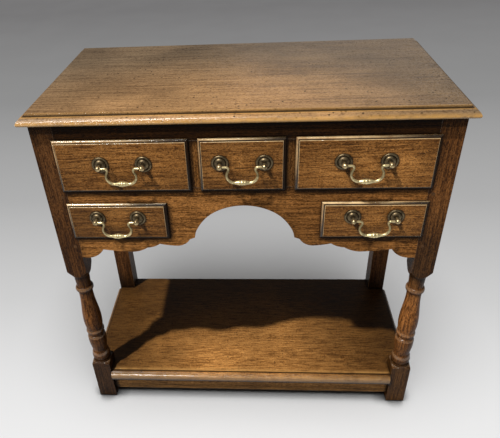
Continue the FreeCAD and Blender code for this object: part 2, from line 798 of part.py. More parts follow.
def bail():
    """Swan-neck bail about its pivot line: y = 0, z = 0, middle at x = 0."""
    post = post_spacing / 2.0
    neck_start = post - post_head_radius - bail_head_gap
    pin_end = post - post_head_radius + bail_pin_depth
    turn = math.radians(swan_angle)
    bend_x = post - bail_bend_inset

    def at(x, z):
        return vec(x, 0.0, z)

    def round_point(center, radius, angle):
        return at(center[0] + radius * math.cos(angle), center[1] + radius * math.sin(angle))

    bend_center = (bend_x + bail_bend_radius, -bail_bend_radius)
    swan_center = (bend_x + swan_radius, -bail_bend_radius)
    swan_end = round_point(swan_center, swan_radius, math.pi + turn)
    corner_center = (swan_end.x - bail_corner_radius * math.cos(turn),
                     swan_end.z - bail_corner_radius * math.sin(turn))
    grip_z = corner_center[1] - bail_corner_radius
    grip_half = corner_center[0]

    def bent(start, along, center, degrees):
        ring = Part.Circle(start, along, bail_neck_radius).toBSpline().toShape()
        return closed_face([ring]).revolve(at(*center), Y, degrees)

    bend_start = at(bend_center[0], 0.0)
    bend_end = at(bend_x, -bail_bend_radius)
    swan_way = vec(math.sin(turn), 0.0, -math.cos(turn))
    neck = [
        rod(bail_neck_radius, bend_start, X, neck_start - bend_start.x),
        bent(bend_start, -X, bend_center, -90.0),
        bent(bend_end, -Z, swan_center, -swan_angle),
        bent(swan_end, swan_way, corner_center, 90.0 + swan_angle),
        rod(bail_pin_radius, at(neck_start, 0.0), X, pin_end - neck_start),
    ]

    ring_inner = grip_knop_half_length
    ring_outer = ring_inner + grip_ring_width
    shoulder_radius = (grip_quirk_radius + 2.0 * grip_knop_radius) / 3.0

    def grip_at(x, radius):
        return at(x, grip_z + radius)

    swell_curve = Part.BSplineCurve()
    swell_curve.interpolate(Points=[grip_at(grip_half, bail_neck_radius),
                                    grip_at(grip_half - grip_swell_inset, grip_swell_radius),
                                    grip_at(ring_outer, grip_quirk_radius)])
    half_grip = [
        line(at(0.0, grip_z), at(grip_half, grip_z)),
        line(at(grip_half, grip_z), grip_at(grip_half, bail_neck_radius)),
        swell_curve.toShape(),
        turned_arc(grip_at(ring_outer, grip_quirk_radius),
                   grip_at((ring_inner + ring_outer) / 2.0, grip_ring_radius),
                   grip_at(ring_inner, grip_quirk_radius)),
        turned_arc(grip_at(ring_inner, grip_quirk_radius), grip_at(grip_knop_shoulder, shoulder_radius),
                   grip_at(0.0, grip_knop_radius)),
        line(grip_at(0.0, grip_knop_radius), at(0.0, grip_z)),
    ]
    grip = closed_face(half_grip).revolve(at(0.0, grip_z), X, 360)
    right = join(neck + [grip])
    return join([right, flip(right)])


def build():
    os.makedirs("parts", exist_ok=True)
    openings = {
        "upper_left": ((-leg_inner, -muntin_outer), (upper_bottom, upper_top), upper_dovetail_count),
        "upper_center": ((-center_half, center_half), (upper_bottom, upper_top), upper_dovetail_count),
        "upper_right": ((muntin_outer, leg_inner), (upper_bottom, upper_top), upper_dovetail_count),
        "lower_left": ((-leg_inner, -lower_inner), (lower_bottom, lower_top), lower_dovetail_count),
        "lower_right": ((lower_inner, leg_inner), (lower_bottom, lower_top), lower_dovetail_count),
    }
    runners = upper_runners() + lower_runners()
    partition = lower_partition()
    housed = runners + [partition]
    housed += [flip(piece) for piece in housed]
    muntins = [muntin(), flip(muntin())]
    peg_group = pegs()

    rail = top_rail()
    apron_board = apron()
    panel = side_panel()
    back = back_panel()
    front_stretcher = long_stretcher(face + stretcher_setback)
    rear_stretcher = long_stretcher(carcase_back - stretcher_setback - stretcher_thickness)
    side_rail = side_stretcher()
    leg = front_leg().cut([rail, apron_board, panel, front_stretcher, side_rail] + peg_group)
    rear_leg = square_leg((rear_leg_front, carcase_back)).cut(
        [panel, back, rear_stretcher, side_rail] + peg_group)

    save("top_board", [top_board()])
    save_pair("front_leg", leg)
    save_pair("rear_leg", rear_leg)
    save("top_rail", [rail.cut(muntins + peg_group)])
    save_pair("muntin", muntin())
    save("apron", [apron_board.cut(muntins + housed + peg_group)])
    save_pair("side_panel", panel.cut(peg_group))
    save("back_panel", [back])
    save("potboard", [potboard()])
    save("front_stretcher", [front_stretcher])
    save("rear_stretcher", [rear_stretcher])
    save_pair("side_stretcher", side_rail)
    save_pair("lower_partition", partition)
    groups = {"upper_runners": upper_runners(), "lower_runners": lower_runners(),
              "drawer_guides": drawer_guides(), "kickers": kickers()}
    for name, right in groups.items():
        save(name, right + [flip(piece) for piece in right])
    save("drawer_stops", drawer_stops(openings))
    save("joint_pegs", peg_group)

    for place, opening in openings.items():
        rise = upper_handle_rise if place.startswith("upper") else lower_handle_rise
        for piece, solids in drawer(opening, rise).items():
            save(place + "_drawer_" + piece, solids)


build()
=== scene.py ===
from collections import namedtuple
from dataclasses import dataclass, replace
import json
import math

import bmesh
import bpy
from mathutils import Matrix, Vector

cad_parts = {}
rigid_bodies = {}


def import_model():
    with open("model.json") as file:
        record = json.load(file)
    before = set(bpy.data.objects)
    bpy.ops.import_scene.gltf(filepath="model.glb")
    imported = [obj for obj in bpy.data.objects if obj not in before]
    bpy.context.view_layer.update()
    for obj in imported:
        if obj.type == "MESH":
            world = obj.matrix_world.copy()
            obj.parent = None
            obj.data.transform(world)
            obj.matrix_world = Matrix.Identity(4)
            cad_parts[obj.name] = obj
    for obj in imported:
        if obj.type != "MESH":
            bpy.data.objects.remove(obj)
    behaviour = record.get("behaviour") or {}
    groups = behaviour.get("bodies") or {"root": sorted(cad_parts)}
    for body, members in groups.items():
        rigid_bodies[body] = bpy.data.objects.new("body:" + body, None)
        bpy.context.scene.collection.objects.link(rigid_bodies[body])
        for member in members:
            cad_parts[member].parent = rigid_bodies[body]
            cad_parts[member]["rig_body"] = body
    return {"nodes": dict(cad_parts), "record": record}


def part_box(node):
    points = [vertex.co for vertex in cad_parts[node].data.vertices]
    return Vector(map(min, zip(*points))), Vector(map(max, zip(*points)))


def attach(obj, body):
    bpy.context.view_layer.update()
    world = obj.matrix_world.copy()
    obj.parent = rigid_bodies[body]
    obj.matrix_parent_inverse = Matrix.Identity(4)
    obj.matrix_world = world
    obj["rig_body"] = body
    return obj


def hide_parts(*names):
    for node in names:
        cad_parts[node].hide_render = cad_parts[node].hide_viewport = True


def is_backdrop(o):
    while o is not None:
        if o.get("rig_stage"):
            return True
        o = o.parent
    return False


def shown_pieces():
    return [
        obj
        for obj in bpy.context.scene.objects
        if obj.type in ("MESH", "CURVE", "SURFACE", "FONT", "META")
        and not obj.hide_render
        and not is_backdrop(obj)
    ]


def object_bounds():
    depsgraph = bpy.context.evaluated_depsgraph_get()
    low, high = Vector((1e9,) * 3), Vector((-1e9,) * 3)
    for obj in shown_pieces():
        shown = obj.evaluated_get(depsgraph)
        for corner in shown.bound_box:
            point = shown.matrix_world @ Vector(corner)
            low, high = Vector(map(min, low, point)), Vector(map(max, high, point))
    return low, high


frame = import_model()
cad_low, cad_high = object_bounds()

nodes = frame["nodes"]
slot_of = {row["node"]: row["material_slot"] for row in frame["record"]["subparts"]}
scene = bpy.context.scene

AXES = {"x": 0, "y": 1, "z": 2}

# Sockets of a Mix node that mixes colours.
MIX_SHARE = 0
MIX_FIRST = 6
MIX_SECOND = 7
MIX_RESULT = 2


def shade(colour, factor):
    return tuple(channel * factor for channel in colour)


def solid(colour):
    """The colour with full opacity, as a colour socket takes it."""
    return (*colour, 1.0)


def even(value):
    """The value in all three channels or directions."""
    return (value, value, value)


def place_between(value, low, high):
    """The value's place between two limits, from 0 to 1."""
    return min(max((value - low) / (high - low), 0.0), 1.0)


class Graph:
    """A node tree under construction."""

    def __init__(self, tree):
        self.tree = tree

    def add(self, kind, **settings):
        node = self.tree.nodes.new(kind)
        for key, value in settings.items():
            setattr(node, key, value)
        return node

    def link(self, source, target):
        self.tree.links.new(source, target)

    def feed(self, socket, value):
        """Link another socket to this one, or set its value."""
        if isinstance(value, bpy.types.NodeSocket):
            self.link(value, socket)
        else:
            socket.default_value = value

    def math(self, operation, *values, clamp=False):
        node = self.add("ShaderNodeMath", operation=operation, use_clamp=clamp)
        for socket, value in zip(node.inputs, values):
            self.feed(socket, value)
        return node.outputs[0]

    def vectors(self, operation, *values, output="Vector"):
        node = self.add("ShaderNodeVectorMath", operation=operation)
        for socket, value in zip(node.inputs, values):
            self.feed(socket, value)
        return node.outputs[output]

    def product(self, first, *others):
        for other in others:
            first = self.math("MULTIPLY", first, other)
        return first

    def highest(self, first, *others):
        for other in others:
            first = self.math("MAXIMUM", first, other)
        return first

    def weigh(self, base, *terms):
        """A base plus values that are multiplied by their weights."""
        for value, weight in terms:
            base = self.math("MULTIPLY_ADD", value, weight, base)
        return base

    def between(self, value, low, high, start=0.0, end=1.0):
        """What the value maps to: start up to the low limit, end from the high one, eased in between."""
        node = self.add("ShaderNodeMapRange", interpolation_type="SMOOTHSTEP")
        self.feed(node.inputs["Value"], value)
        node.inputs["From Min"].default_value = low
        node.inputs["From Max"].default_value = high
        node.inputs["To Min"].default_value = start
        node.inputs["To Max"].default_value = end
        return node.outputs["Result"]

    def mix(self, share, first, second, blend="MIX"):
        node = self.add("ShaderNodeMix", data_type="RGBA", blend_type=blend)
        self.feed(node.inputs[MIX_SHARE], share)
        self.feed(node.inputs[MIX_FIRST], first)
        self.feed(node.inputs[MIX_SECOND], second)
        return node.outputs[MIX_RESULT]

    def noise(self, vector, detail, roughness=0.5, output="Fac"):
        node = self.add("ShaderNodeTexNoise")
        self.link(vector, node.inputs["Vector"])
        node.inputs["Scale"].default_value = 1.0
        node.inputs["Detail"].default_value = detail
        node.inputs["Roughness"].default_value = roughness
        return node.outputs[output]

    def cells(self, vector):
        """Distance to the middle of the nearest cell, and that cell's random number."""
        node = self.add("ShaderNodeTexVoronoi", feature="F1")
        self.link(vector, node.inputs["Vector"])
        node.inputs["Scale"].default_value = 1.0
        return node.outputs["Distance"], self.part(node.outputs["Color"], "x")

    def stretch(self, vector, scale, offset):
        node = self.add("ShaderNodeMapping")
        self.link(vector, node.inputs["Vector"])
        node.inputs["Location"].default_value = offset
        node.inputs["Scale"].default_value = scale
        return node.outputs["Vector"]

    def ramp(self, value, stops):
        node = self.add("ShaderNodeValToRGB")
        self.link(value, node.inputs["Fac"])
        elements = node.color_ramp.elements
        while len(elements) < len(stops):
            elements.new(1.0)
        for element, (place, colour) in zip(elements, stops):
            element.position = place
            element.color = solid(colour)
        return node.outputs["Color"]

    def part(self, vector, axis):
        node = self.add("ShaderNodeSeparateXYZ")
        self.link(vector, node.inputs["Vector"])
        return node.outputs[AXES[axis]]

    def attribute(self, name):
        return self.add("ShaderNodeAttribute", attribute_name=name).outputs["Fac"]

    def openness(self, distance, normal=None, samples=6):
        """Share of the view from each point that nothing nearer than the distance blocks."""
        node = self.add("ShaderNodeAmbientOcclusion", samples=samples)
        node.inputs["Distance"].default_value = distance
        if normal is not None:
            self.link(normal, node.inputs["Normal"])
        return node.outputs["AO"]

    def looked_at(self):
        """1 for rays that show a surface, directly, in a mirror or through glass, and 0 for the others."""
        path = self.add("ShaderNodeLightPath")
        return self.highest(path.outputs["Is Camera Ray"], path.outputs["Is Glossy Ray"],
                            path.outputs["Is Transmission Ray"])


class Surface(Graph):
    """A material under construction around one principled shader."""

    offset = even(0.0)

    def __init__(self, name):
        self.material = bpy.data.materials.new(name)
        self.material.use_nodes = True
        super().__init__(self.material.node_tree)
        self.tree.nodes.clear()
        output = self.add("ShaderNodeOutputMaterial")
        self.shader = self.add("ShaderNodeBsdfPrincipled")
        self.link(self.shader.outputs["BSDF"], output.inputs["Surface"])
        self.coordinates = self.add("ShaderNodeTexCoord").outputs
        self.place = self.coordinates["Object"]

    def set(self, name, value):
        self.feed(self.shader.inputs[name], value)

    def spots(self, per_metre, detail, roughness=0.5):
        """Noise in spots that are as long as they are wide."""
        return self.noise(self.stretch(self.place, even(per_metre), self.offset), detail, roughness)

    def bump(self, height, strength, distance):
        node = self.add("ShaderNodeBump")
        node.inputs["Strength"].default_value = strength
        node.inputs["Distance"].default_value = distance
        self.link(height, node.inputs["Height"])
        self.set("Normal", node.outputs["Normal"])


@dataclass(frozen=True)
class Oak:
    """Tones, wear, old wax and painted light and shade of one kind of oak. Places and lengths are in
    metres.
    """

    dark: tuple  # grain lines
    middle: tuple  # most of the wood
    light: tuple  # pale wood between the lines
    worn: tuple = None  # pale tone of eased edges, where the pieces have them, and of painted highlights on mouldings and beads
    contrast: float = 1.0  # strength of the grain
    fine: float = 1.0  # how closely the grain lines lie
    short: float = 1.0  # how short the marks of the grain are
    roughness: float = 0.40  # mean roughness
    sheen: float = 0.20  # specular level away from worn edges
    crevice_wax_and_shade: float = 0.85  # share of old wax and painted shade in the deepest crevices
    cracks: float = 0.0  # share of the grain cells that have split
    pits: float = 0.0  # share of the pit cells that may have a hole
    pit_size: float = 1.0
    pitted_front: float = None  # place along y in front of which the pits are thick
    fade: tuple = None  # lit middle of a painted falloff of light and shade, reach from it, and tone beyond that reach
    shade_by_height: tuple = None  # painted light and shade from the floor up to the overall height
    worn_front: tuple = None  # place along y, width and share of a strip that is rubbed pale
    fitting_shade: tuple = None  # share of painted shade round fittings on the flat front, and that front's place along y
    lee: float = 0.0  # share of painted shadow below and to the right of proud edges


# Marks of the grain per metre, along it and across it.
DRIFT = (1.7, 5.0)
BANDS = (1.6, 30.0)
LINES = (6.0, 165.0)
DASHES = (120.0, 290.0)
PORES = (290.0, 400.0)
RAYS = (210.0, 150.0)
SPLITS = (27.0, 520.0)

# Spots per metre with their noise detail and roughness, and cells per metre in x, y and z.
PATCHES = (7.0, 3.0, 0.55)
SCUFFS = (42.0, 3.0, 0.6)
DENTS = (26.0, 2.0, 0.5)
PIT_CELLS = (150.0, 120.0, 190.0)
PIT_CLUSTERS = (16.0, 26.0, 26.0)

GRAIN_DETAIL = 1.0
BROAD_DETAIL = 2.0
MEAN_NOISE = 0.5
WANDER = 0.016
SEED_SHIFT = (1.37, 2.11, 0.73)
BAND_SHARE = 0.14
LINE_SHARE = 0.38
DASH_SHARE = 0.48
TONE_SPREAD = 0.115
MIDDLE_STOP = 0.48

# A mark of the grain: noise at which it starts and is full, its share of the colour, and its tone.
Mark = namedtuple("Mark", "start full share tone")
FLECK = Mark(0.60, 0.70, 0.40, 1.12)
STREAK = Mark(0.55, 0.65, 0.52, 0.40)
PORE = Mark(0.57, 0.66, 0.66, 0.30)

# Limits of Graph.between, with what they map to in some cases.
STAIN = (0.30, 0.72, 0.76, 1.16)
FADED = (0.15, 1.0)
CLUSTERED = (0.46, 0.60)
PIT_HOLE = (0.14, 0.26)
CRACK_GAP = (0.28, 0.48, 1.0, 0.0)
SCUFFED = (0.30, 0.58)
FULLY_WORN = (0.0, 0.3)
CREVICE = (0.44, 0.88)
SHADE_AND_WAX_MARKED = (0.20, 0.72, 0.0, 0.96)
NEAR_FITTINGS = (0.66, 0.985)
SHELTERED = (0.80, 0.96)

PIT_CHOICE = 0.02
PITTED_WIDTH = 0.03
PITTED_SHARE = 0.9
PIT_SHARE = 0.88
PIT_TONE = 0.12
CRACK_CHOICE = 0.001
CRACK_SHARE = 0.94
CRACK_TONE = 0.10
STRIP_START = 0.0020
STRIP_FULL = 0.0005
LEAST_RUB = 0.40
SCUFF_RUB = 0.50

# Old wax and painted shade: distances over which hollows, fittings and proud edges are darkened, and the
# way the painted shadow in the lee of proud edges leans.
CREVICE_REACH = 0.009
FITTING_REACH = 0.020
LEE_REACH = 0.013
LEE_LEAN = (-0.40, 0.0, 0.66)
FLAT_START = 0.0002
FLAT_END = 0.0008
WAX_AND_SHADE_TONE = 0.07

LINE_ROUGHNESS = 0.16
PORE_ROUGHNESS = 0.20
WORN_SMOOTHNESS = 0.20
WORN_SHEEN = 0.60
LINE_HEIGHT = 0.40
STREAK_DEPTH = 0.35
PORE_DEPTH = 0.30
DENT_HEIGHT = 1.1
OAK_BUMP = dict(strength=0.34, distance=0.0011)


class OakSurface(Surface):
    """Waxed oak whose grain runs along one axis of the piece. The seed picks its pattern."""

    def __init__(self, name, axis, seed, oak):
        super().__init__(name)
        self.oak = oak
        self.axis = AXES[axis]
        self.offset = shade(SEED_SHIFT, seed)
        drift = self.noise(self.grain(self.place, *DRIFT), GRAIN_DETAIL, output="Color")
        self.wandered = self.vectors("MULTIPLY_ADD", drift, even(WANDER), self.place)
        self.wear = self.attribute("wear") if oak.worn else None
        self.draw_grain()
        # Painted falloff of light and shade away from a lit middle.
        if oak.fade:
            self.shade_away(*oak.fade)
        # Painted light and shade by height.
        if oak.shade_by_height:
            level = self.math("DIVIDE", self.part(self.place, "z"), cad_high[2], clamp=True)
            self.colour = self.mix(1.0, self.colour, self.ramp(level, oak.shade_by_height), "MULTIPLY")
        if oak.pits:
            self.add_pits()
        if oak.cracks:
            self.add_cracks()
        if oak.worn:
            self.rub()
        self.paint_wax_and_shade()
        self.set("Base Color", self.colour)
        self.polish()

    def grain(self, vector, along, across):
        """Coordinates that are drawn out along the grain."""
        scale = [across] * 3
        scale[self.axis] = along
        return self.stretch(vector, scale, self.offset)

    def marks(self, along, across, detail=GRAIN_DETAIL):
        """Noise in marks that follow the wandering grain."""
        return self.noise(self.grain(self.wandered, along, across), detail)

    def cover(self, share, tone, blend="MIX"):
        """Lay a tone over the colour so far."""
        self.colour = self.mix(share, self.colour, solid(tone), blend)

    def cover_marks(self, noise, mark, tone):
        """Draw one kind of mark of the grain, and return where it lies."""
        found = self.between(noise, mark.start, mark.full)
        share = self.math("MULTIPLY", found, mark.share * self.oak.contrast, clamp=True)
        self.cover(share, shade(tone, mark.tone))
        return found

    def draw_grain(self):
        oak = self.oak
        bands = self.marks(*BANDS, detail=BROAD_DETAIL)
        self.lines = self.marks(LINES[0] * oak.fine * oak.short, LINES[1] * oak.fine)
        dashes = self.marks(DASHES[0] * oak.short, DASHES[1] * oak.fine)
        pores = self.marks(PORES[0] * oak.short, PORES[1] * oak.fine)
        tone = self.weigh(0.0, (bands, BAND_SHARE), (self.lines, LINE_SHARE), (dashes, DASH_SHARE))
        spread = TONE_SPREAD / oak.contrast
        self.colour = self.ramp(self.between(tone, MEAN_NOISE - spread, MEAN_NOISE + spread),
                                [(0.0, oak.dark), (MIDDLE_STOP, oak.middle), (1.0, oak.light)])
        self.cover_marks(self.marks(*RAYS), FLECK, oak.light)
        self.streak = self.cover_marks(dashes, STREAK, oak.dark)
        self.pore = self.cover_marks(pores, PORE, oak.dark)
        stain = self.between(self.spots(*PATCHES), *STAIN)
        self.colour = self.vectors("MULTIPLY", self.colour, stain)

    def shade_away(self, middle, reach, tone):
        """Paint shade over the board away from its lit middle."""
        scale = [1.0 / length for length in reach]
        offset = [-start / length for start, length in zip(middle, reach)]
        away = self.vectors("LENGTH", self.stretch(self.place, scale, offset), output="Value")
        self.cover(self.between(away, *FADED), tone, "MULTIPLY")

    def add_pits(self):
        """Small dark holes in clusters."""
        oak = self.oak
        distance, number = self.cells(self.stretch(self.place, PIT_CELLS, self.offset))
        chosen = self.between(number, 1.0 - oak.pits, 1.0 - oak.pits + PIT_CHOICE)
        cloud = self.noise(self.stretch(self.place, PIT_CLUSTERS, self.offset), BROAD_DETAIL)
        clusters = self.between(cloud, *CLUSTERED)
        if oak.pitted_front is not None:
            front = self.between(self.part(self.place, "y"), oak.pitted_front,
                                 oak.pitted_front + PITTED_WIDTH, PITTED_SHARE, 0.0)
            clusters = self.highest(clusters, front)
        hole = self.between(distance, *shade(PIT_HOLE, oak.pit_size), 1.0, 0.0)
        self.cover(self.product(chosen, clusters, hole, PIT_SHARE), shade(oak.dark, PIT_TONE))

    def add_cracks(self):
        """Narrow splits along the grain."""
        oak = self.oak
        distance, number = self.cells(self.grain(self.wandered, *SPLITS))
        chosen = self.between(number, 1.0 - oak.cracks, 1.0 - oak.cracks + CRACK_CHOICE)
        gap = self.between(distance, *CRACK_GAP)
        self.cover(self.product(gap, chosen, CRACK_SHARE), shade(oak.dark, CRACK_TONE))

    def rub(self):
        """Worn tone on the eased edges and along the front, and the same pale tone as painted highlights
        on mouldings and beads, broken up by scuffs.
        """
        oak = self.oak
        rubbed_and_highlit = self.wear
        if oak.worn_front:
            edge, width, share = oak.worn_front
            depth = self.part(self.place, "y")
            behind_step = self.between(depth, edge - STRIP_START, edge - STRIP_FULL)
            strip = self.product(behind_step, self.between(depth, edge, edge + width, share, 0.0))
            rubbed_and_highlit = self.highest(self.wear, strip)
        scuffs = self.between(self.spots(*SCUFFS), *SCUFFED)
        self.cover(self.product(rubbed_and_highlit, self.weigh(LEAST_RUB, (scuffs, SCUFF_RUB))), oak.worn)

    def paint_wax_and_shade(self):
        """Old dark wax and painted shade in crevices and quirks; painted shade on the dark noses, on
        mouldings that look down or to the right, round fittings and in the lee of proud edges.
        """
        oak = self.oak
        # Old wax and painted shade in crevices, darker where the surroundings close in.
        wax = [self.between(self.openness(CREVICE_REACH), *CREVICE, oak.crevice_wax_and_shade, 0.0)]
        if oak.worn:
            wax.append(self.between(self.attribute("quirk"), *SHADE_AND_WAX_MARKED))
        # Painted shade round the fittings on the flat front.
        if oak.fitting_shade:
            share, front = oak.fitting_shade
            near = self.between(self.openness(FITTING_REACH), *NEAR_FITTINGS, share, 0.0)
            depth = self.part(self.place, "y")
            flat = self.between(depth, front + FLAT_START, front + FLAT_END, 1.0, 0.0)
            wax.append(self.product(near, flat))
        # Painted shadow below and to the right of proud edges, found by looking out along a normal leaned
        # up and to the left.
        if oak.lee:
            normal = self.add("ShaderNodeNewGeometry").outputs["True Normal"]
            leaning = self.vectors("NORMALIZE", self.vectors("ADD", normal, LEE_LEAN))
            wax.append(self.between(self.openness(LEE_REACH, leaning), *SHELTERED, oak.lee, 0.0))
        self.cover(self.highest(*wax), shade(oak.dark, WAX_AND_SHADE_TONE))

    def polish(self):
        """Roughness, sheen and the relief of the grain."""
        oak = self.oak
        roughness = self.weigh(oak.roughness - MEAN_NOISE * LINE_ROUGHNESS,
                               (self.lines, LINE_ROUGHNESS), (self.pore, PORE_ROUGHNESS))
        sheen = oak.sheen
        if oak.worn:
            roughness = self.weigh(roughness, (self.between(self.wear, *FULLY_WORN), -WORN_SMOOTHNESS))
            sheen = self.between(self.wear, *FULLY_WORN, oak.sheen, WORN_SHEEN)
        self.set("Roughness", roughness)
        self.set("Specular IOR Level", sheen)
        height = self.weigh(0.0, (self.lines, LINE_HEIGHT), (self.streak, -STREAK_DEPTH),
                            (self.pore, -PORE_DEPTH), (self.spots(*DENTS), DENT_HEIGHT))
        self.bump(height, **OAK_BUMP)


PEG_DARK = (0.030, 0.014, 0.007)
PEG_LIGHT = (0.160, 0.080, 0.035)
PEG_RINGS = (620.0, 3.0, 0.7)
PEG_PATCHES = (45.0, 1.0)
PEG_RING_SHARE = 0.6
PEG_TONE = (0.34, 0.66)
PEG_ROUGHNESS = (0.3, 0.7, 0.42, 0.62)
PEG_SHEEN = 0.08
PEG_BUMP = dict(strength=0.3, distance=0.0005)


def end_grain(name):
    """Cut end of a peg: fine rings across a dark, waxy end."""
    wood = Surface(name)
    rings = wood.spots(*PEG_RINGS)
    patches = wood.spots(*PEG_PATCHES)
    tone = wood.weigh(0.0, (rings, PEG_RING_SHARE), (patches, 1.0 - PEG_RING_SHARE))
    stops = [(0.0, PEG_DARK), (1.0, PEG_LIGHT)]
    wood.set("Base Color", wood.ramp(wood.between(tone, *PEG_TONE), stops))
    wood.set("Roughness", wood.between(rings, *PEG_ROUGHNESS))
    wood.set("Specular IOR Level", PEG_SHEEN)
    wood.bump(rings, **PEG_BUMP)
    return wood.material


# Old brass: tarnished and rubbed tones, how metallic it is, and its roughness before wear and specks.
Brass = namedtuple("Brass", "tarnished rubbed metallic roughness")
POST_BRASS = Brass((0.052, 0.036, 0.020), (0.640, 0.500, 0.270), 0.85, 0.36)
BAIL_BRASS = Brass((0.120, 0.086, 0.032), (0.860, 0.720, 0.390), 0.70, 0.34)
MOTTLE = (190.0, 4.0, 0.62)
SPECKS = (900.0, 2.0, 0.6)
MOTTLED = (0.30, 0.62)
TARNISH_REACH = 0.004
OPEN_METAL = (0.45, 0.95)
# Share of the rubbing from the bottom of a bail, where the grip is, up to its ends.
GRIP_RUB = ((0.0, 1.0), (0.30, 0.95), (0.50, 0.32), (0.80, 0.28), (0.93, 0.90))
LEAST_GRIP_RUB = 0.35
# Places along y between which the rubbing of a post's head ends.
POST_HEAD = (-0.1905, -0.1860, 1.0, 0.0)
LEAST_HEAD_RUB = 0.20
SPECK_ROUGHNESS = 0.14
RUBBED_SMOOTHNESS = 0.10
SPECK_HEIGHT = 0.4
BRASS_BUMP = dict(strength=0.22, distance=0.0006)


def brass(name, kind):
    """Old brass with tarnish in its hollows, rubbed bright on a bail's grip and a post's head."""
    metal = Surface(name)
    mottle = metal.spots(*MOTTLE)
    specks = metal.spots(*SPECKS)
    open_metal = metal.between(metal.openness(TARNISH_REACH), *OPEN_METAL)
    clean = metal.product(metal.between(mottle, *MOTTLED), open_metal)
    if kind is BAIL_BRASS:
        stops = [(height, even(share)) for height, share in GRIP_RUB]
        rub = metal.ramp(metal.part(metal.coordinates["Generated"], "z"), stops)
        clean = metal.weigh(LEAST_GRIP_RUB, (clean, 1.0 - LEAST_GRIP_RUB))
        clean = metal.math("MULTIPLY", clean, rub, clamp=True)
    else:
        head = metal.between(metal.part(metal.place, "y"), *POST_HEAD)
        clean = metal.product(clean, metal.weigh(LEAST_HEAD_RUB, (head, 1.0 - LEAST_HEAD_RUB)))
    roughness = metal.weigh(kind.roughness, (specks, SPECK_ROUGHNESS), (clean, -RUBBED_SMOOTHNESS))
    metal.set("Base Color", metal.mix(clean, solid(kind.tarnished), solid(kind.rubbed)))
    metal.set("Metallic", kind.metallic)
    metal.set("Roughness", roughness)
    metal.bump(metal.weigh(mottle, (specks, SPECK_HEIGHT)), **BRASS_BUMP)
    return metal.material


# Painted light and shade by height, as shares of the overall height: on the legs lit bulbs and darker
# feet, blocks and tops, the right leg lit otherwise than the left, and on the frame a darker stretcher
# foot and the rail under the top painted in its shadow.
LEG_SHADE_BY_HEIGHT = ((0.0, (0.26, 0.26, 0.24)), (0.15, (0.34, 0.33, 0.30)), (0.20, (1.00, 0.93, 0.80)),
             (0.36, (1.80, 1.62, 1.26)), (0.44, (1.44, 1.34, 1.10)), (0.50, (0.62, 0.57, 0.46)),
             (0.62, (0.68, 0.62, 0.50)), (0.80, (0.76, 0.74, 0.70)))
RIGHT_LEG_SHADE_BY_HEIGHT = ((0.0, (0.46, 0.46, 0.37)), (0.15, (0.60, 0.60, 0.46)), (0.20, (1.00, 0.94, 0.82)),
                   (0.36, (1.80, 1.66, 1.34)), (0.44, (1.44, 1.36, 1.16)), (0.50, (0.42, 0.42, 0.37)),
                   (0.62, (0.48, 0.48, 0.42)), (0.80, (0.82, 0.77, 0.66)))
FRAME_SHADE_BY_HEIGHT = ((0.040, (0.66, 0.74, 0.80)), (0.070, (1.55, 1.70, 1.90)), (0.20, (1.0, 1.0, 1.0)),
               (0.915, (1.0, 1.0, 1.0)), (0.93, (0.16, 0.14, 0.12)), (1.0, (0.16, 0.14, 0.12)))
OAKS = {
    "oak_top": Oak(
        dark=(0.200, 0.103, 0.040), middle=(0.425, 0.237, 0.101), light=(0.540, 0.314, 0.137),
        worn=(0.64, 0.35, 0.095), contrast=0.66, fine=1.5, roughness=0.42, cracks=0.002, pits=0.26,
        pit_size=1.35, pitted_front=-0.185, worn_front=(-0.181, 0.012, 0.50),
        # The top's falloff paints a pool of light on its front middle and a greyer painted sheen towards
        # the back and ends.
        fade=((-0.07, -0.24, 0.76), (0.53, 0.40, 1.0), (0.38, 0.46, 0.62))),
    "oak_potboard": Oak(
        dark=(0.220, 0.090, 0.022), middle=(0.690, 0.312, 0.082), light=(0.860, 0.430, 0.130),
        worn=(0.74, 0.40, 0.125), contrast=0.95, fine=2.4, short=2.4, roughness=0.36, cracks=0.004,
        pits=0.20, worn_front=(-0.165, 0.010, 0.55),
        # The potboard's falloff paints the shade under the carcase towards its back and ends.
        fade=((0.0, -0.18, 0.09), (0.355, 0.36, 1.0), (0.19, 0.18, 0.15))),
    "oak_drawer_front": Oak(
        dark=(0.105, 0.040, 0.008), middle=(0.340, 0.146, 0.036), light=(0.540, 0.255, 0.074),
        worn=(0.82, 0.60, 0.32), contrast=1.15, fine=2.8, short=1.5, roughness=0.38, sheen=0.14,
        cracks=0.010, pits=0.14, fitting_shade=(0.90, -0.1794)),
    "oak_frame": Oak(
        dark=(0.085, 0.033, 0.008), middle=(0.300, 0.130, 0.034), light=(0.460, 0.206, 0.060),
        worn=(0.50, 0.27, 0.10), contrast=1.10, fine=2.6, sheen=0.07, crevice_wax_and_shade=0.95, cracks=0.008,
        pits=0.12, shade_by_height=FRAME_SHADE_BY_HEIGHT, lee=0.94),
    "oak_legs": Oak(
        dark=(0.042, 0.016, 0.005), middle=(0.135, 0.055, 0.017), light=(0.250, 0.110, 0.038),
        worn=(0.52, 0.32, 0.16), contrast=1.10, fine=2.4, roughness=0.36, sheen=0.09, crevice_wax_and_shade=0.95,
        cracks=0.008, shade_by_height=LEG_SHADE_BY_HEIGHT, lee=0.55),
    "oak_panel": Oak(
        dark=(0.060, 0.024, 0.008), middle=(0.180, 0.080, 0.028), light=(0.300, 0.142, 0.055),
        worn=(0.42, 0.24, 0.11)),
    "oak_inner": Oak(
        dark=(0.200, 0.115, 0.055), middle=(0.390, 0.250, 0.135), light=(0.520, 0.360, 0.210),
        contrast=0.8, roughness=0.60),
    "drawer_lining": Oak(
        dark=(0.260, 0.160, 0.080), middle=(0.460, 0.310, 0.175), light=(0.600, 0.430, 0.260),
        contrast=0.75, roughness=0.58),
}
SEEDS = {"x": 1.0, "y": 4.0, "z": 7.0}
